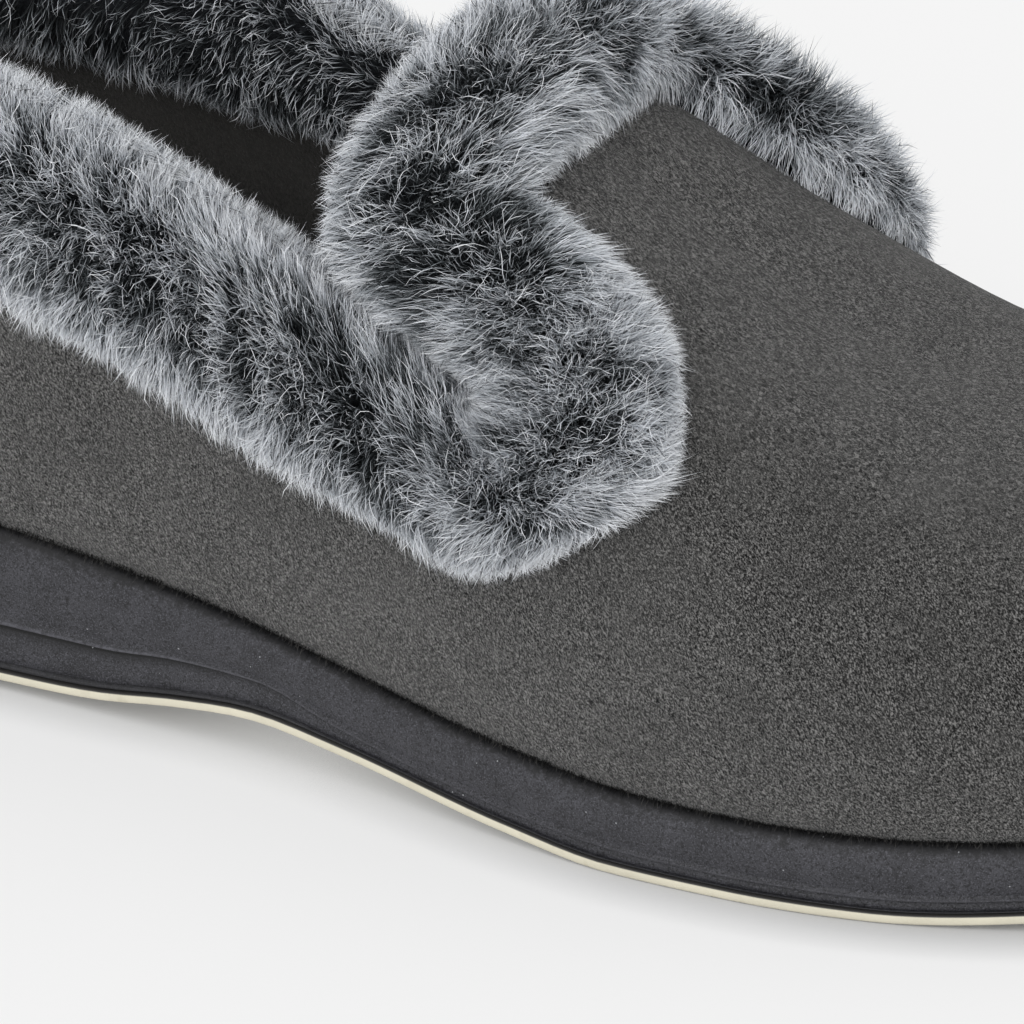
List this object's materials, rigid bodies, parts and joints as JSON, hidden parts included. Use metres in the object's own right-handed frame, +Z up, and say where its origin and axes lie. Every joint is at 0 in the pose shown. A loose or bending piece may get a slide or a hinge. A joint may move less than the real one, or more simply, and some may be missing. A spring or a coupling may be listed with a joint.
{
  "type": "closed-back slipper",
  "caption": "Closed-back house slipper for the right foot: grey suede upper, tipped fur collar notched at the sides and tabbed over the instep, moulded charcoal sole on a thin cream outsole",
  "frame": {"origin": "on the floor under the middle of the bounding box", "axes": "+X from heel to toe, +Y to the medial side of the right foot, +Z up"},
  "size_m": [0.2718, 0.0988, 0.0969],
  "materials": {
    "cream_rubber": "matte cream rubber sheet with a fine tread below",
    "charcoal_sole": "satin moulded foam rubber, lightly clouded, with specks of lint",
    "dark_footbed": "dark short-pile lining cloth",
    "grey_suede": "microsuede with a short brushed nap",
    "tipped_fur": "dense fake fur, near-black at the roots with silver-grey tips"
  },
  "bodies": {
    "root": {"outsole": "cream_rubber", "midsole": "charcoal_sole", "insole": "dark_footbed", "upper": "grey_suede", "fur_collar": "tipped_fur"}
  },
  "joints": []
}
